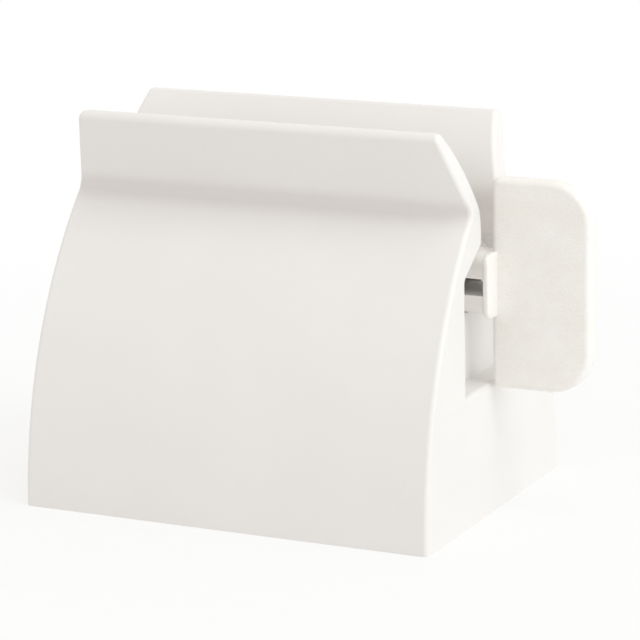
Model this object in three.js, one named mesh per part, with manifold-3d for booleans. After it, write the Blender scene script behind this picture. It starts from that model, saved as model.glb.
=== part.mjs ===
import * as THREE from 'three';
import { mergeVertices } from 'three/addons/utils/BufferGeometryUtils.js';
import Module from 'manifold-3d';

// A free-standing tube squeezer: a hollow body whose mouth takes the tail of a tube, and a split
// winding key that turns in the end walls. Millimetres, +Z up, X along the key's axis.
// The origin lies under the middle of body and key together, on the counter.

// Body, outside
const BODY_LENGTH = 70;
const BASE_HALF_DEPTH = 26.5;
const NECK_HALF_DEPTH = 7.05;
const NECK_HEIGHT = 48.8;
const NECK_ROUND = 1.2;
const LIP_TOP = 61.7;
const LIP_HALF_DEPTH = 13.2;
const LIP_THICKNESS = 2.6;
const LIP_EDGE_ROUND = 1.1;
const END_DRAFT = 0.6;
const LIP_END_TAPER = 3.5;

// Body, inside
const SKIN_WALL = 2.4;
const THROAT_GAP = 6.8;
const JAW_DEPTH = 1.2;
const JAW_CLEARANCE = 1.4;
const SHOULDER_SLOPE = 0.66;

// End walls: a recess sunk from outside, and the bearing wall at its back
const RECESS_DEPTH = 4.4;
const RECESS_FLOOR = 20.8;
const RECESS_HALF_WIDTH = 10.2;
const RECESS_DRAFT = 0.4;
const BEARING_WALL = 2;
const END_WALL = 2.4;

// Winding key
const AXIS_HEIGHT = 36.9;
const ROD_DIAMETER = 10.2;
const BEARING_CLEARANCE = 0.3;
const SLOT_WIDTH = 2.7;
const SLOT_END_WALL = 0.9;
const HUB_REACH = 1;
const HUB_ROUND = 1.4;
const ROD_TIP_SETBACK = 1.6;
const FLAG_GAP = 0.3;
const FLAG_LENGTH = 16.2;
const FLAG_HEIGHT = 33.2;
const FLAG_THICKNESS = 3;
const FLAG_CORNER = 6.5;
const FLAG_INNER_CORNER = 1.3;
const FLAG_EDGE_ROUND = 0.8;

// Overlap that a cutting solid has past the face it opens
const CUT_PAST = 1;

// Flats along the curves
const SKIN_STEPS = 20;
const MOUTH_STEPS = 12;
const ROUND_STEPS = 6;
const ROD_SIDES = 48;

const plastic = { color: 0xe9e6e1, roughness: 0.48, metalness: 0 };

const HALF_LENGTH = BODY_LENGTH / 2;
// Each skin is an arc, upright at the counter, that ends at the neck
const SKIN_RUN = BASE_HALF_DEPTH - NECK_HALF_DEPTH;
const SKIN_RADIUS = (NECK_HEIGHT * NECK_HEIGHT + SKIN_RUN * SKIN_RUN) / (2 * SKIN_RUN);
// The jaws hang clear of the rod, so that wound tube has room under them
const JAW_FOOT = AXIS_HEIGHT + ROD_DIAMETER / 2 + JAW_CLEARANCE;
const THROAT_HEIGHT = JAW_FOOT + JAW_DEPTH;
const FLAG_FOOT = AXIS_HEIGHT - FLAG_HEIGHT / 2;
const FLAG_HEAD = AXIS_HEIGHT + FLAG_HEIGHT / 2;
// The ends lean in with height, so the flag comes closest to them at its foot
const FLAG_ROOT = HALF_LENGTH - END_DRAFT * FLAG_FOOT / NECK_HEIGHT + FLAG_GAP;
const FLAG_TIP = FLAG_ROOT + FLAG_LENGTH;
const MIDDLE_SHIFT = (HALF_LENGTH - FLAG_TIP) / 2;

const wasm = await Module();
wasm.setup();

// Turns a closed three.js geometry into a solid that can be cut and joined
function solid(geometry) {
  geometry.deleteAttribute('normal');
  geometry.deleteAttribute('uv');
  const merged = mergeVertices(geometry, 1e-5);
  const mesh = new wasm.Mesh({
    numProp: 3,
    vertProperties: new Float32Array(merged.attributes.position.array),
    triVerts: new Uint32Array(merged.index.array),
  });
  return new wasm.Manifold(mesh);
}

// Turns a solid back into a named three.js mesh with its own material
function named(name, shape, material) {
  const { vertProperties, triVerts } = shape.getMesh();
  const geometry = new THREE.BufferGeometry();
  geometry.setAttribute('position', new THREE.BufferAttribute(vertProperties, 3));
  geometry.setIndex(new THREE.BufferAttribute(triVerts, 1));
  geometry.computeVertexNormals();
  const mesh = new THREE.Mesh(geometry, new THREE.MeshStandardMaterial(material));
  mesh.name = name;
  return mesh;
}

// Runs an outline drawn in (y, z) along X, from low to high
function alongX(outline, low, high, curveSegments = 24) {
  const geometry = new THREE.ExtrudeGeometry(outline, {
    depth: high - low, bevelEnabled: false, curveSegments,
  });
  const place = new THREE.Matrix4().makeBasis(
    new THREE.Vector3(0, 1, 0), new THREE.Vector3(0, 0, 1), new THREE.Vector3(1, 0, 0),
  );
  geometry.applyMatrix4(place);
  geometry.translate(low, 0, 0);
  return solid(geometry);
}

// Runs an outline drawn in (x, z) along Y, centred on Y = 0, with its two rims rounded
function alongY(outline, thickness, rimRound, curveSegments = 12) {
  const geometry = new THREE.ExtrudeGeometry(outline, {
    depth: thickness - 2 * rimRound,
    bevelEnabled: rimRound > 0,
    bevelThickness: rimRound,
    bevelSize: rimRound,
    bevelOffset: -rimRound,
    bevelSegments: 3,
    curveSegments,
  });
  geometry.translate(0, 0, -thickness / 2 + rimRound);
  const place = new THREE.Matrix4().makeBasis(
    new THREE.Vector3(1, 0, 0), new THREE.Vector3(0, 0, 1), new THREE.Vector3(0, -1, 0),
  );
  geometry.applyMatrix4(place);
  return solid(geometry);
}

// A round bar along X, centred on the key's axis
function barX(diameter, low, high) {
  const geometry = new THREE.CylinderGeometry(diameter / 2, diameter / 2, high - low, ROD_SIDES);
  geometry.rotateZ(Math.PI / 2);
  geometry.translate((low + high) / 2, 0, AXIS_HEIGHT);
  return solid(geometry);
}

// A plain block between two corners
function block(x0, x1, y0, y1, z0, z1) {
  const geometry = new THREE.BoxGeometry(x1 - x0, y1 - y0, z1 - z0);
  geometry.translate((x0 + x1) / 2, (y0 + y1) / 2, (z0 + z1) / 2);
  return solid(geometry);
}

// Half depth of a skin whose outside has the given half depth at the counter
function skinAt(height, baseHalfDepth, radius) {
  return baseHalfDepth - radius + Math.sqrt(radius * radius - height * height);
}

// Height of the sloped shoulder under the jaws at a half depth
function shoulderAt(halfDepth) {
  return JAW_FOOT - SHOULDER_SLOPE * (halfDepth - THROAT_GAP / 2);
}

// Closes one half of an outline with its mirror image
function mirrored(half) {
  const shape = new THREE.Shape();
  shape.moveTo(-half[0][0], half[0][1]);
  half.forEach(([across, up]) => shape.lineTo(across, up));
  [...half].reverse().slice(0, -1).forEach(([across, up]) => shape.lineTo(-across, up));
  return shape;
}

// The neck's round touches the arc of the skin below it and the straight lip above it
const LIP_LEAN = Math.atan2(LIP_HALF_DEPTH - NECK_HALF_DEPTH, LIP_TOP - NECK_HEIGHT);
const NECK_TURN = Math.asin(NECK_HEIGHT / SKIN_RADIUS) + LIP_LEAN;
const NECK_TANGENT = NECK_ROUND * Math.tan(NECK_TURN / 2);

// Outside of the body in (y, z): arcs for the skins, straight lips, softly rounded lip tops
function bodyOutline() {
  const half = [];
  const arcTop = NECK_HEIGHT - NECK_TANGENT * Math.cos(NECK_TURN - LIP_LEAN);
  for (let i = 0; i <= SKIN_STEPS; i += 1) {
    const z = arcTop * i / SKIN_STEPS;
    half.push([skinAt(z, BASE_HALF_DEPTH, SKIN_RADIUS), z]);
  }
  const bend = new THREE.QuadraticBezierCurve(
    new THREE.Vector2(half[SKIN_STEPS][0], half[SKIN_STEPS][1]),
    new THREE.Vector2(NECK_HALF_DEPTH, NECK_HEIGHT),
    new THREE.Vector2(
      NECK_HALF_DEPTH + NECK_TANGENT * Math.sin(LIP_LEAN),
      NECK_HEIGHT + NECK_TANGENT * Math.cos(LIP_LEAN),
    ),
  );
  bend.getPoints(ROUND_STEPS).slice(1).forEach((p) => half.push([p.x, p.y]));
  const lipStart = LIP_EDGE_ROUND / Math.cos(LIP_LEAN);
  const lipTop = new THREE.QuadraticBezierCurve(
    new THREE.Vector2(
      LIP_HALF_DEPTH - lipStart * Math.sin(LIP_LEAN),
      LIP_TOP - lipStart * Math.cos(LIP_LEAN),
    ),
    new THREE.Vector2(LIP_HALF_DEPTH, LIP_TOP),
    new THREE.Vector2(LIP_HALF_DEPTH - LIP_EDGE_ROUND, LIP_TOP),
  );
  lipTop.getPoints(ROUND_STEPS).forEach((p) => half.push([p.x, p.y]));
  return mirrored(half);
}

// Ends of the body in (x, z): a slight draft up to the neck, then the lips draw in
function endsOutline() {
  const neck = HALF_LENGTH - END_DRAFT;
  return mirrored([[HALF_LENGTH, 0], [neck, NECK_HEIGHT], [neck - LIP_END_TAPER, LIP_TOP]]);
}

// The mouth in (y, z): one arc on each side from the throat out to the lip's inner edge
function mouthOutline() {
  const rise = LIP_TOP - THROAT_HEIGHT;
  const spread = LIP_HALF_DEPTH - LIP_THICKNESS - THROAT_GAP / 2;
  const radius = (rise * rise + spread * spread) / (2 * spread);
  const sweep = Math.asin((rise + CUT_PAST) / radius);
  const half = [[THROAT_GAP / 2, JAW_FOOT - CUT_PAST]];
  for (let i = 0; i <= MOUTH_STEPS; i += 1) {
    const angle = sweep * i / MOUTH_STEPS;
    half.push([
      THROAT_GAP / 2 + radius * (1 - Math.cos(angle)),
      THROAT_HEIGHT + radius * Math.sin(angle),
    ]);
  }
  return mirrored(half);
}

// The inside of the skins in (y, z), open at the counter
function innerSkinOutline() {
  const innerBase = BASE_HALF_DEPTH - SKIN_WALL;
  const innerRadius = SKIN_RADIUS - SKIN_WALL;
  const half = [[innerBase, -CUT_PAST]];
  for (let i = 0; i <= SKIN_STEPS; i += 1) {
    const z = NECK_HEIGHT * i / SKIN_STEPS;
    half.push([skinAt(z, innerBase, innerRadius), z]);
  }
  return mirrored(half);
}

// All that lies under the sloped shoulders in (y, z), as wide as the body
function underShouldersOutline() {
  return mirrored([
    [BASE_HALF_DEPTH, -CUT_PAST],
    [BASE_HALF_DEPTH, shoulderAt(BASE_HALF_DEPTH)],
    [THROAT_GAP / 2, JAW_FOOT],
  ]);
}

// The recess in an end face in (y, z), grown outwards by a wall where it is the housing behind it
function recessOutline(grow) {
  return mirrored([
    [RECESS_HALF_WIDTH + RECESS_DRAFT + grow, RECESS_FLOOR - grow],
    [RECESS_HALF_WIDTH + grow, shoulderAt(RECESS_HALF_WIDTH) + grow],
    [THROAT_GAP / 2, JAW_FOOT + grow],
  ]);
}

function makeBody() {
  const ends = alongY(endsOutline(), 3 * BASE_HALF_DEPTH, 0);
  const outside = alongX(bodyOutline(), -HALF_LENGTH, HALF_LENGTH).intersect(ends);
  const hollowEnd = HALF_LENGTH - END_DRAFT - END_WALL;
  const bearingFace = HALF_LENGTH - RECESS_DEPTH;
  const bearingBack = bearingFace - BEARING_WALL;
  const housing = (low, high) => alongX(recessOutline(END_WALL), low, high);
  const hollow = alongX(innerSkinOutline(), -hollowEnd, hollowEnd)
    .intersect(alongX(underShouldersOutline(), -hollowEnd, hollowEnd))
    .subtract(housing(bearingBack, HALF_LENGTH))
    .subtract(housing(-HALF_LENGTH, -bearingBack));
  const past = HALF_LENGTH + CUT_PAST;
  return outside
    .subtract(hollow)
    .subtract(alongX(mouthOutline(), -past, past))
    .subtract(alongX(recessOutline(0), bearingFace, past))
    .subtract(alongX(recessOutline(0), -past, -bearingFace))
    .subtract(barX(ROD_DIAMETER + 2 * BEARING_CLEARANCE, -past, past));
}

// The flag in (x, z): square at its root, well rounded outside
function flagOutline() {
  const outer = FLAG_CORNER;
  const inner = FLAG_INNER_CORNER;
  const shape = new THREE.Shape();
  shape.absarc(FLAG_TIP - outer, FLAG_FOOT + outer, outer, 1.5 * Math.PI, 2 * Math.PI);
  shape.absarc(FLAG_TIP - outer, FLAG_HEAD - outer, outer, 0, Math.PI / 2);
  shape.absarc(FLAG_ROOT + inner, FLAG_HEAD - inner, inner, Math.PI / 2, Math.PI);
  shape.absarc(FLAG_ROOT + inner, FLAG_FOOT + inner, inner, Math.PI, 1.5 * Math.PI);
  return shape;
}

// The hub in (y, z): a square with rounded corners around the rod's end
function hubOutline() {
  const half = ROD_DIAMETER / 2;
  const inner = half - HUB_ROUND;
  const shape = new THREE.Shape();
  shape.absarc(inner, AXIS_HEIGHT + inner, HUB_ROUND, 0, Math.PI / 2);
  shape.absarc(-inner, AXIS_HEIGHT + inner, HUB_ROUND, Math.PI / 2, Math.PI);
  shape.absarc(-inner, AXIS_HEIGHT - inner, HUB_ROUND, Math.PI, 1.5 * Math.PI);
  shape.absarc(inner, AXIS_HEIGHT - inner, HUB_ROUND, 1.5 * Math.PI, 2 * Math.PI);
  return shape;
}

function makeKey() {
  const tip = -HALF_LENGTH + ROD_TIP_SETBACK;
  const hubFace = FLAG_ROOT + HUB_REACH;
  const rod = barX(ROD_DIAMETER, tip, FLAG_ROOT);
  const hub = alongX(hubOutline(), FLAG_ROOT, hubFace, 5);
  const flag = alongY(flagOutline(), FLAG_THICKNESS, FLAG_EDGE_ROUND);
  const slot = block(
    tip - CUT_PAST, hubFace - SLOT_END_WALL,
    -ROD_DIAMETER, ROD_DIAMETER,
    AXIS_HEIGHT - SLOT_WIDTH / 2, AXIS_HEIGHT + SLOT_WIDTH / 2,
  );
  return rod.add(hub).add(flag).subtract(slot);
}

const group = new THREE.Group();
group.add(named('squeezer_body', makeBody(), plastic));
group.add(named('winding_key', makeKey(), plastic));
group.children.forEach((mesh) => mesh.position.setX(MIDDLE_SHIFT));

export default group;
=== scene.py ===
import math
import bmesh
import bpy
from mathutils import Matrix, Vector


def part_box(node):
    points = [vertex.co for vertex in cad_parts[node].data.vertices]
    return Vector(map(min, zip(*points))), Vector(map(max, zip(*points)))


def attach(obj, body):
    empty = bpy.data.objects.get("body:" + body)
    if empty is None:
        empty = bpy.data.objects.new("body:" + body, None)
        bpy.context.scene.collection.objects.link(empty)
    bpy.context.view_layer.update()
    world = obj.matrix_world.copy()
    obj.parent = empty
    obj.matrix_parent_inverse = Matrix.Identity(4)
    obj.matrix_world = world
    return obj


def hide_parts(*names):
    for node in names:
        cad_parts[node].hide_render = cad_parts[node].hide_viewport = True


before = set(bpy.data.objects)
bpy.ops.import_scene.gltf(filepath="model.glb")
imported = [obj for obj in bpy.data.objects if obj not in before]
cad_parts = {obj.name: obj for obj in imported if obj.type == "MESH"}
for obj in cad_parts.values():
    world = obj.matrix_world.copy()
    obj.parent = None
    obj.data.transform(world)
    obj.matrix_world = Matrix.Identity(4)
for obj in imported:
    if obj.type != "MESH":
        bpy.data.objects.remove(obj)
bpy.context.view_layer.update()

# Studio: a white table in a pale room, with two soft boxes on the right, so that the
# end of the object is its brightest side, and a small one overhead. The camera stands
# at the height of a seated viewer, a little to the right of the front.


def linear(red, green, blue):
    """A colour as a screen shows it, 0 to 255, turned into light."""
    def one(value):
        share = value / 255
        return share / 12.92 if share <= 0.04045 else ((share + 0.055) / 1.055) ** 2.4
    return (one(red), one(green), one(blue), 1)


def link_new(name, data):
    made = bpy.data.objects.new(name, data)
    bpy.context.scene.collection.objects.link(made)
    return made


CAMERA_PLACE = Vector((0.21147, -0.44005, 0.14774))
CAMERA_RIGHT = Vector((0.90039, 0.43473, -0.01758))
CAMERA_FORWARD = Vector((-0.42611, 0.87293, -0.23752))
CAMERA_LENS = 177.85
CAMERA_SENSOR = 36
OBJECT_MIDDLE = Vector((0, 0, 0.03))
WARM = (1.0, 0.98, 0.95)
COOL = (0.90, 0.96, 1.0)
ROOM_STRENGTH = 0.8
TABLE_HALF = 2.5
TABLE_GLOW_BY_OBJECT = 0.65

camera_data = bpy.data.cameras.new("camera")
camera_data.lens = CAMERA_LENS
camera_data.sensor_width = CAMERA_SENSOR
camera_data.clip_start = 0.02
camera_data.clip_end = 20
camera = link_new("camera", camera_data)
camera_up = CAMERA_RIGHT.cross(CAMERA_FORWARD)
turn = Matrix((CAMERA_RIGHT, camera_up, -CAMERA_FORWARD)).transposed().to_4x4()
camera.matrix_world = Matrix.Translation(CAMERA_PLACE) @ turn
bpy.context.scene.camera = camera
bpy.context.scene.view_settings.view_transform = "Standard"


def soft_box(name, place, width, height, watts, colour):
    """A rectangular lamp that looks at the object."""
    light = bpy.data.lights.new(name, "AREA")
    light.shape = "RECTANGLE"
    light.size, light.size_y = width, height
    light.energy = watts
    light.color = colour
    lamp = link_new(name, light)
    lamp.location = place
    lamp.rotation_mode = "QUATERNION"
    lamp.rotation_quaternion = (OBJECT_MIDDLE - Vector(place)).to_track_quat("-Z", "Y")


soft_box("overhead_box", (0.12, -0.10, 0.90), width=0.3, height=0.3, watts=0.9, colour=WARM)
soft_box("right_box", (1.0, -0.10, 0.25), width=0.6, height=0.5, watts=2.1, colour=COOL)
soft_box("high_right_box", (0.65, -0.15, 0.70), width=0.4, height=0.4, watts=1.3, colour=COOL)


def computed(nodes, links, operation, first, second=None):
    """A Math node's result from one or two sockets."""
    node = nodes.new("ShaderNodeMath")
    node.operation = operation
    links.new(first, node.inputs[0])
    if second:
        links.new(second, node.inputs[1])
    return node.outputs[0]


def ranged(nodes, links, source, spread, result=(0, 1), kind="LINEAR"):
    """A value moved from one spread to another."""
    node = nodes.new("ShaderNodeMapRange")
    node.interpolation_type = kind
    node.inputs["From Min"].default_value, node.inputs["From Max"].default_value = spread
    node.inputs["To Min"].default_value, node.inputs["To Max"].default_value = result
    links.new(source, node.inputs["Value"])
    return node.outputs["Result"]


def white_to_the_eye(nodes, links):
    """One where the camera or a reflection looks, nought where the surface only lights others."""
    path = nodes.new("ShaderNodeLightPath").outputs
    seen = computed(nodes, links, "MAXIMUM", path["Is Camera Ray"], path["Is Glossy Ray"])
    return computed(nodes, links, "MAXIMUM", seen, path["Is Transmission Ray"])


def mixed_surface(nodes, links, share, first, second, output):
    """Shows the second shader by the share, and the first for the rest."""
    mix = nodes.new("ShaderNodeMixShader")
    links.new(share, mix.inputs[0])
    links.new(first.outputs[0], mix.inputs[1])
    links.new(second.outputs[0], mix.inputs[2])
    links.new(mix.outputs[0], nodes.new(output).inputs["Surface"])


def light_room():
    """A room that lights the object softly and looks white."""
    world = bpy.data.worlds.new("pale_room")
    world.use_nodes = True
    bpy.context.scene.world = world
    nodes, links = world.node_tree.nodes, world.node_tree.links
    nodes.clear()
    walls = nodes.new("ShaderNodeBackground")
    walls.inputs["Color"].default_value = linear(255, 253, 250)
    walls.inputs["Strength"].default_value = ROOM_STRENGTH
    white = nodes.new("ShaderNodeBackground")
    white.inputs["Color"].default_value = (1, 1, 1, 1)
    mixed_surface(nodes, links, white_to_the_eye(nodes, links), walls, white,
                  "ShaderNodeOutputWorld")


def white_table_paint():
    """Matt white that keeps the object's shadow, and fades into plain white around it."""
    paint = bpy.data.materials.new("table_white")
    paint.use_nodes = True
    nodes, links = paint.node_tree.nodes, paint.node_tree.links
    nodes.clear()
    matt = nodes.new("ShaderNodeBsdfDiffuse")
    matt.inputs["Color"].default_value = (0.9, 0.9, 0.9, 1)
    glow = nodes.new("ShaderNodeEmission")
    away = nodes.new("ShaderNodeVectorMath")
    away.operation = "LENGTH"
    links.new(nodes.new("ShaderNodeTexCoord").outputs["Object"], away.inputs[0])
    fade = ranged(nodes, links, away.outputs["Value"], (0.05, 0.2), (TABLE_GLOW_BY_OBJECT, 1))
    share = computed(nodes, links, "MULTIPLY", white_to_the_eye(nodes, links), fade)
    mixed_surface(nodes, links, share, matt, glow, "ShaderNodeOutputMaterial")
    return paint


light_room()
table_mesh = bpy.data.meshes.new("table")
table_mesh.from_pydata(
    [(x * TABLE_HALF, y * TABLE_HALF, 0) for x, y in ((-1, -1), (1, -1), (1, 1), (-1, 1))],
    [], [(0, 1, 2, 3)])
table_mesh.materials.append(white_table_paint())
link_new("table", table_mesh)

# Body: one hollow moulding in warm white plastic, two curved skins that rise to a neck
# and turn out again as lips. Its closed ends carry the key in two bearing walls, each
# sunk in a recess. The lips and ends are softly rounded, and the foot is cut square.

MM = 0.001
CUT_PAST = 1
SHARP_FROM_DEGREES = 40


def corner(before, here, after, radius, steps=5):
    """Points of a round that replaces a sharp corner between two straight stretches."""
    come = (before - here).normalized()
    go = (after - here).normalized()
    half_angle = come.angle(go) / 2
    reach = radius / math.tan(half_angle)
    start, end = here + come * reach, here + go * reach
    centre = here + (come + go).normalized() * (radius / math.sin(half_angle))
    points = []
    for step in range(steps + 1):
        spoke = (start - centre).slerp(end - centre, step / steps)
        points.append(centre + spoke.normalized() * radius)
    return points


def rounded(corners):
    """A closed outline from corners given as (across, up, radius)."""
    spots = [Vector(c[:2]) for c in corners]
    points = []
    for index, (_, _, radius) in enumerate(corners):
        before, here = spots[index - 1], spots[index]
        after = spots[(index + 1) % len(spots)]
        points += corner(before, here, after, radius) if radius else [here]
    return points


def inset(points, depth):
    """The outline moved inwards everywhere by one depth; it runs anticlockwise."""
    moved = []
    for index, here in enumerate(points):
        come = (here - points[index - 1]).normalized()
        go = (points[(index + 1) % len(points)] - here).normalized()
        first, second = Vector((-come.y, come.x)), Vector((-go.y, go.x))
        moved.append(here + (first + second) * (depth / (1 + first.dot(second))))
    return moved


def rounded_levels(low, high, radius, steps=5):
    """Places along a bar, each with the inset that rounds the bar's two rims."""
    turns = [math.pi / 2 * step / steps for step in range(steps + 1)]
    near = [(low + radius * (1 - math.sin(t)), radius * (1 - math.cos(t))) for t in turns]
    near.reverse()
    far = [(high - radius * (1 - math.sin(t)), radius * (1 - math.cos(t))) for t in turns]
    return near + far


def bar(name, points, levels, put, caps=None):
    """A closed bar: the outline at each level, set in place by put, and capped."""
    shape = bmesh.new()
    rings = []
    for place, depth in levels:
        ring = inset(points, depth) if depth else points
        rings.append([shape.verts.new(put(place, p)) for p in ring])
    count = len(points)
    for ring, after in zip(rings, rings[1:]):
        for i in range(count):
            j = (i + 1) % count
            shape.faces.new((ring[i], ring[j], after[j], after[i]))
    for loop in caps or [range(count)]:
        shape.faces.new([rings[0][i] for i in reversed(loop)])
        shape.faces.new([rings[-1][i] for i in loop])
    bmesh.ops.recalc_face_normals(shape, faces=shape.faces)
    mesh = bpy.data.meshes.new(name)
    shape.to_mesh(mesh)
    shape.free()
    return link_new(name, mesh)


def apply_modifiers(piece):
    finished = bpy.data.meshes.new_from_object(
        piece.evaluated_get(bpy.context.evaluated_depsgraph_get()))
    piece.modifiers.clear()
    piece.data = finished


def cut_or_join(piece, other, operation):
    """Cuts another solid from a piece, or joins it on, and puts the other away."""
    change = piece.modifiers.new(operation, "BOOLEAN")
    change.operation = operation
    change.object = other
    change.solver = "MANIFOLD"
    apply_modifiers(piece)
    bpy.data.objects.remove(other)


def smooth_finish(piece):
    """Smooth over the rounds, true flats between them, and square edges kept square."""
    for face in piece.data.polygons:
        face.use_smooth = True
    piece.data.set_sharp_from_angle(angle=math.radians(SHARP_FROM_DEGREES))
    piece.modifiers.new("flat_faces_lead", "WEIGHTED_NORMAL").keep_sharp = True
    apply_modifiers(piece)


def ring_of(radius, count, middle=0):
    """A circle, its middle raised by the given height."""
    turns = [math.tau * i / count for i in range(count)]
    return [Vector((radius * math.cos(t), middle + radius * math.sin(t))) for t in turns]


body_low, body_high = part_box("squeezer_body")
body_middle = (body_low.x + body_high.x) / 2 / MM
HALF_LENGTH = (body_high.x - body_low.x) / 2 / MM
BASE_HALF_DEPTH = body_high.y / MM
LIP_TOP = body_high.z / MM
NECK_HEIGHT = 48.8
NECK_HALF_DEPTH = 7.05
SKIN_RUN = BASE_HALF_DEPTH - NECK_HALF_DEPTH
SKIN_RADIUS = (NECK_HEIGHT ** 2 + SKIN_RUN ** 2) / (2 * SKIN_RUN)
LIP_HALF_DEPTH = 13.2
LIP_THICKNESS = 2.6
THROAT_HALF = 3.4
THROAT_HEIGHT = 44.6
JAW_FOOT = 43.4
SHOULDER_SLOPE = 0.66
SKIN_WALL = 2.4
RECESS_HALF = 10.2
RECESS_DRAFT = 0.4
RECESS_FLOOR = 20.8
RECESS_DEPTH = 4.4
BEARING_WALL = 2
BORE_RADIUS = 5.25
BORE_SIDES = 64
AXIS_HEIGHT = 36.9
END_DRAFT = 0.6
LIP_END_TAPER = 3.5
END_ROUND = 0.8
EDGE_ROUND = 0.9
LIP_ROUND = 1.1
NECK_ROUND = 1.6
RECESS_ROUND = 0.6
HOUSING_ROUND = 1.5
BELOW_TABLE = 2
WALL_OVERLAP = 1
WALL_OVERLAP_ABOVE = 0.4
SKIN_STEPS = 41
MOUTH_STEPS = 23
HOLLOW_STEPS = 30
SEARCH_STEP = 0.05
LEVEL_WITHIN = 0.01


def shoulder(across):
    return JAW_FOOT - SHOULDER_SLOPE * (across - THROAT_HALF)


def skin(height, base, radius):
    return base - radius + math.sqrt(radius ** 2 - height ** 2)


def mirrored(half):
    """One side's corners, and the same on the other side, anticlockwise."""
    return half + [(-across, up, radius) for across, up, radius in reversed(half)]


def mouth_side():
    """Places down one side of the mouth, along an arc that stands upright at the throat."""
    rise = LIP_TOP - THROAT_HEIGHT
    spread = LIP_HALF_DEPTH - LIP_THICKNESS - THROAT_HALF
    radius = (rise ** 2 + spread ** 2) / (2 * spread)
    sweep = math.asin(rise / radius)
    angles = [sweep * step / MOUTH_STEPS for step in range(MOUTH_STEPS - 2, -1, -1)]
    return [(THROAT_HALF + radius * (1 - math.cos(angle)),
             THROAT_HEIGHT + radius * math.sin(angle), 0) for angle in angles]


def outside_half():
    """Corners from the base up the skin, over the lip, down the mouth and into the recess."""
    heights = [NECK_HEIGHT * step / SKIN_STEPS for step in range(SKIN_STEPS - 1)]
    return [
        (BASE_HALF_DEPTH, -BELOW_TABLE, EDGE_ROUND),
        *((skin(height, BASE_HALF_DEPTH, SKIN_RADIUS), height, 0) for height in heights),
        (NECK_HALF_DEPTH, NECK_HEIGHT, NECK_ROUND),
        (LIP_HALF_DEPTH, LIP_TOP, LIP_ROUND),
        (LIP_HALF_DEPTH - LIP_THICKNESS, LIP_TOP, EDGE_ROUND),
        *mouth_side(),
        (THROAT_HALF, JAW_FOOT, EDGE_ROUND),
        (RECESS_HALF, shoulder(RECESS_HALF), EDGE_ROUND),
        (RECESS_HALF + RECESS_DRAFT, RECESS_FLOOR, RECESS_ROUND),
    ]


def end_reach(height):
    """How far the end faces stand from the middle: a slight draft, then the lips draw in."""
    neck = HALF_LENGTH - END_DRAFT
    if height < NECK_HEIGHT:
        return HALF_LENGTH - END_DRAFT * max(height, 0) / NECK_HEIGHT
    return neck - LIP_END_TAPER * (height - NECK_HEIGHT) / (LIP_TOP - NECK_HEIGHT)


def tapered_along_x(place, point):
    share = end_reach(point.y) / HALF_LENGTH
    return Vector((body_middle + place * share, point.x, point.y)) * MM


def plain_along_x(place, point):
    return Vector((body_middle + place, point.x, point.y)) * MM


def end_fields(points):
    """The end face in three flat fields, as places in the outline: each lip, and the rest."""
    count = len(points)
    raised = [i for i in range(count // 2) if points[i].y > NECK_HEIGHT - LEVEL_WITHIN]
    neck = min(raised, key=lambda i: points[i].y)
    inside = max(i for i in raised if i > neck and points[i].y > NECK_HEIGHT)
    far_inside, far_neck = count - 1 - inside, count - 1 - neck
    rest = [*range(neck + 1), *range(inside, far_inside + 1), *range(far_neck, count)]
    return [range(neck, inside + 1), range(far_inside, far_neck + 1), rest]


def plain_bar(name, points, low, high):
    return bar(name, points, [(low, 0), (high, 0)], plain_along_x)


def outer_solid():
    """The body's outside, mouth and recesses, as one bar cut level at the table."""
    outline = rounded(mirrored(outside_half()))
    solid = bar("squeezer_body_moulding", outline,
                rounded_levels(-HALF_LENGTH, HALF_LENGTH, END_ROUND), tapered_along_x,
                end_fields(outline))
    width, depth = 2 * BASE_HALF_DEPTH, 2 * BELOW_TABLE
    slab = [Vector(c) for c in ((-width, -depth), (width, -depth), (width, 0), (-width, 0))]
    cut_or_join(solid, plain_bar("under_table", slab, -2 * HALF_LENGTH, 2 * HALF_LENGTH),
                "DIFFERENCE")
    return solid


def hollow_solid():
    """The room inside the skins, under the shoulders, less the housings of the recesses."""
    base, radius = BASE_HALF_DEPTH - SKIN_WALL, SKIN_RADIUS - SKIN_WALL
    roof = 0
    while shoulder(skin(roof, base, radius)) >= roof:
        roof += SEARCH_STEP
    heights = [roof * step / HOLLOW_STEPS for step in range(HOLLOW_STEPS + 1)]
    half = [(base, -CUT_PAST, 0), *((skin(height, base, radius), height, 0) for height in heights),
            (THROAT_HALF, JAW_FOOT, 0)]
    reach = HALF_LENGTH - END_DRAFT - SKIN_WALL
    solid = plain_bar("hollow", rounded(mirrored(half)), -reach, reach)
    housing = rounded(mirrored([
        (RECESS_HALF + RECESS_DRAFT + SKIN_WALL, RECESS_FLOOR - SKIN_WALL, HOUSING_ROUND),
        (RECESS_HALF + SKIN_WALL, shoulder(RECESS_HALF) + SKIN_WALL, 0),
        (THROAT_HALF, JAW_FOOT + SKIN_WALL, 0)]))
    for low, high in ((BEARING_BACK, HALF_LENGTH), (-HALF_LENGTH, -BEARING_BACK)):
        cut_or_join(solid, plain_bar("housing", housing, low, high), "DIFFERENCE")
    return solid


def bearing_wall(low, high):
    """The wall at the back of a recess, with the bore that carries the rod."""
    outline = rounded(mirrored([
        (RECESS_HALF + RECESS_DRAFT + WALL_OVERLAP, RECESS_FLOOR - WALL_OVERLAP, 0),
        (RECESS_HALF + WALL_OVERLAP, shoulder(RECESS_HALF) + WALL_OVERLAP_ABOVE, 0),
        (THROAT_HALF, JAW_FOOT, 0)]))
    wall = plain_bar("bearing_wall", outline, low, high)
    bore = ring_of(BORE_RADIUS, BORE_SIDES, AXIS_HEIGHT)
    cut_or_join(wall, plain_bar("bore", bore, low - CUT_PAST, high + CUT_PAST), "DIFFERENCE")
    return wall


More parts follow.
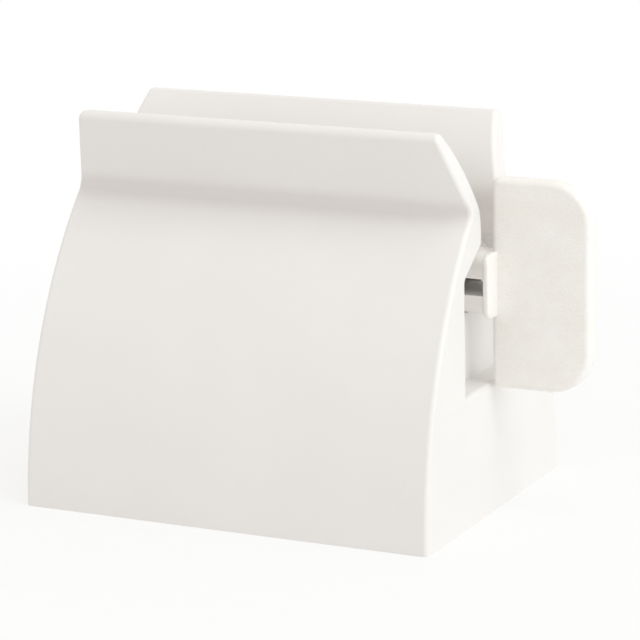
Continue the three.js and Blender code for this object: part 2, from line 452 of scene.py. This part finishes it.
BEARING_FACE = HALF_LENGTH - RECESS_DEPTH
BEARING_BACK = BEARING_FACE - BEARING_WALL
body = outer_solid()
cut_or_join(body, hollow_solid(), "DIFFERENCE")
cut_or_join(body, bearing_wall(BEARING_BACK, BEARING_FACE), "UNION")
cut_or_join(body, bearing_wall(-BEARING_FACE, -BEARING_BACK), "UNION")
smooth_finish(body)


def object_part(nodes, links, output, axis):
    """One axis of the piece's own place or normal."""
    parts = nodes.new("ShaderNodeSeparateXYZ")
    links.new(output, parts.inputs[0])
    return parts.outputs[axis]


def mixed_colour(nodes, links, share, first, second):
    mix = nodes.new("ShaderNodeMix")
    mix.data_type = "RGBA"
    links.new(share, mix.inputs["Factor"])
    links.new(first, mix.inputs["A"])
    links.new(second, mix.inputs["B"])
    return mix.outputs["Result"]


def noise(nodes, links, place, scale, detail, roughness=0.5):
    made = nodes.new("ShaderNodeTexNoise")
    made.inputs["Detail"].default_value = detail
    made.inputs["Roughness"].default_value = roughness
    links.new(place.outputs["Object"], made.inputs["Vector"])
    links.new(scale, made.inputs["Scale"])
    return made.outputs["Fac"]


# How far the painted crease shade reaches on either side of the crease.
PAINTED_SHADE_REACH = 3 * MM


def painted_crease_shade_mask(nodes, links, place, height):
    """Painted shade: one at the height of the crease, on what faces front or back, and less away
    from it.
    """
    up = object_part(nodes, links, place.outputs["Object"], "Z")
    apart = computed(nodes, links, "ABSOLUTE", computed(nodes, links, "SUBTRACT", up, height))
    near = ranged(nodes, links, apart, (0, PAINTED_SHADE_REACH), (1, 0), "SMOOTHSTEP")
    facing = object_part(nodes, links, place.outputs["Normal"], "Y")
    either_way = computed(nodes, links, "ABSOLUTE", facing)
    on_sides = ranged(nodes, links, either_way, (0.3, 0.65))
    return computed(nodes, links, "MULTIPLY", near, on_sides)


def moulded_plastic():
    """Colour, roughness and surface of moulded plastic, read from the piece's own place; the
    colour carries painted shade along the crease.
    """
    group = bpy.data.node_groups.new("moulded_plastic", "ShaderNodeTree")
    for name, way, kind in (
            ("Plastic", "INPUT", "Color"), ("Shade", "INPUT", "Color"),
            ("Clouds Per Metre", "INPUT", "Float"), ("Crease", "INPUT", "Color"),
            ("Crease Height", "INPUT", "Float"), ("Satin", "INPUT", "Float"),
            ("Grain Per Metre", "INPUT", "Float"), ("Grain Height", "INPUT", "Float"),
            ("Color", "OUTPUT", "Color"), ("Roughness", "OUTPUT", "Float"),
            ("Normal", "OUTPUT", "Vector")):
        group.interface.new_socket(name, in_out=way, socket_type="NodeSocket" + kind)
    nodes, links = group.nodes, group.links
    given = nodes.new("NodeGroupInput").outputs
    result = nodes.new("NodeGroupOutput").inputs
    place = nodes.new("ShaderNodeTexCoord")

    cloud = noise(nodes, links, place, given["Clouds Per Metre"], 3)
    cloudy = ranged(nodes, links, cloud, (0.35, 0.7))
    tint = mixed_colour(nodes, links, cloudy, given["Plastic"], given["Shade"])
    # Painted shade: the crease colour is mixed in along the neck crease, where the crease lies in
    # shade.
    crease = painted_crease_shade_mask(nodes, links, place, given["Crease Height"])
    links.new(mixed_colour(nodes, links, crease, tint, given["Crease"]), result["Color"])

    grain = noise(nodes, links, place, given["Grain Per Metre"], 4, 0.6)
    rub = ranged(nodes, links, grain, (0, 1), (-0.05, 0.05))
    links.new(computed(nodes, links, "ADD", given["Satin"], rub), result["Roughness"])
    bump = nodes.new("ShaderNodeBump")
    bump.inputs["Distance"].default_value = 0.0001
    links.new(given["Grain Height"], bump.inputs["Strength"])
    links.new(grain, bump.inputs["Height"])
    links.new(bump.outputs["Normal"], result["Normal"])
    return group


PLASTIC_GROUP = moulded_plastic()


def plastic(name, **look):
    """A plastic from the shared look, its settings given by the names of the sockets."""
    material = bpy.data.materials.new(name)
    material.use_nodes = True
    nodes, links = material.node_tree.nodes, material.node_tree.links
    surface = nodes["Principled BSDF"]
    surface.inputs["IOR"].default_value = 1.49
    group = nodes.new("ShaderNodeGroup")
    group.node_tree = PLASTIC_GROUP
    group.inputs["Crease Height"].default_value = NECK_HEIGHT * MM
    for socket, value in look.items():
        group.inputs[socket.replace("_", " ").title()].default_value = value
    links.new(group.outputs["Color"], surface.inputs["Base Color"])
    links.new(group.outputs["Roughness"], surface.inputs["Roughness"])
    links.new(group.outputs["Normal"], surface.inputs["Normal"])
    return material


body.data.materials.clear()
body.data.materials.append(plastic(
    "warm_white_satin", plastic=linear(238, 236, 233), shade=linear(236, 233, 230),
    # The crease colour is painted shade, darker than the plastic along the neck crease.
    clouds_per_metre=55, crease=linear(227, 222, 219),
    satin=0.42, grain_per_metre=3500, grain_height=0.12))
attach(body, "body")
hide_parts("squeezer_body")

# Key: the second moulding, a round rod split by a slot, with a square hub and a flat
# flag to turn it by. The flag has a fine grain for grip, and its edges are well rounded.

key_low, key_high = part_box("winding_key")
FLAG_TIP = key_high.x / MM
FLAG_LENGTH = 16.2
FLAG_ROOT = FLAG_TIP - FLAG_LENGTH
FLAG_FOOT, FLAG_HEAD = key_low.z / MM, key_high.z / MM
FLAG_HALF_THICKNESS = 1.5
FLAG_CORNER = 6.5
FLAG_INNER_CORNER = 1.3
FLAG_EDGE = 0.9
ROD_RADIUS = key_high.y / MM
ROD_TIP = key_low.x / MM
ROD_INTO_FLAG = 0.6
ROD_EDGE = 0.5
ROD_SIDES = 72
HUB_REACH = 1
HUB_CORNER = 1.4
HUB_EDGE = 0.35
SLOT_HALF = 1.35
SLOT_END_WALL = 0.9
SLOT_REACH = 2 * ROD_RADIUS


def key_along_x(place, point):
    return Vector((place, point.x, AXIS_HEIGHT + point.y)) * MM


def key_along_y(place, point):
    return Vector((point.x, place, point.y)) * MM


def key_along_z(place, point):
    return Vector((point.x, point.y, AXIS_HEIGHT + place)) * MM


def flag_solid():
    outline = rounded([
        (FLAG_ROOT, FLAG_FOOT, FLAG_INNER_CORNER), (FLAG_TIP, FLAG_FOOT, FLAG_CORNER),
        (FLAG_TIP, FLAG_HEAD, FLAG_CORNER), (FLAG_ROOT, FLAG_HEAD, FLAG_INNER_CORNER)])
    levels = rounded_levels(-FLAG_HALF_THICKNESS, FLAG_HALF_THICKNESS, FLAG_EDGE)
    return bar("winding_key_moulding", outline, levels, key_along_y)


def rod_solid():
    levels = rounded_levels(ROD_TIP, FLAG_ROOT + ROD_INTO_FLAG, ROD_EDGE)
    return bar("rod", ring_of(ROD_RADIUS, ROD_SIDES), levels, key_along_x)


def hub_solid():
    outline = rounded([
        (ROD_RADIUS * across, ROD_RADIUS * up, HUB_CORNER)
        for across, up in ((1, -1), (1, 1), (-1, 1), (-1, -1))])
    levels = rounded_levels(FLAG_ROOT, FLAG_ROOT + HUB_REACH, HUB_EDGE)
    return bar("hub", outline, levels, key_along_x)


def slot_solid():
    low, high = ROD_TIP - CUT_PAST, FLAG_ROOT + HUB_REACH - SLOT_END_WALL
    outline = [Vector(c) for c in ((low, -SLOT_REACH), (high, -SLOT_REACH),
                                   (high, SLOT_REACH), (low, SLOT_REACH))]
    return bar("slot", outline, [(-SLOT_HALF, 0), (SLOT_HALF, 0)], key_along_z)


key = flag_solid()
cut_or_join(key, rod_solid(), "UNION")
cut_or_join(key, hub_solid(), "UNION")
cut_or_join(key, slot_solid(), "DIFFERENCE")
smooth_finish(key)
key.data.materials.clear()
key.data.materials.append(plastic(
    "warm_white_grained", plastic=linear(247, 245, 241), shade=linear(244, 241, 235),
    # On the key the painted crease shade is its shade tone.
    clouds_per_metre=300, crease=linear(244, 241, 235),
    satin=0.5, grain_per_metre=2600, grain_height=1.0))
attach(key, "key")
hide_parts("winding_key")
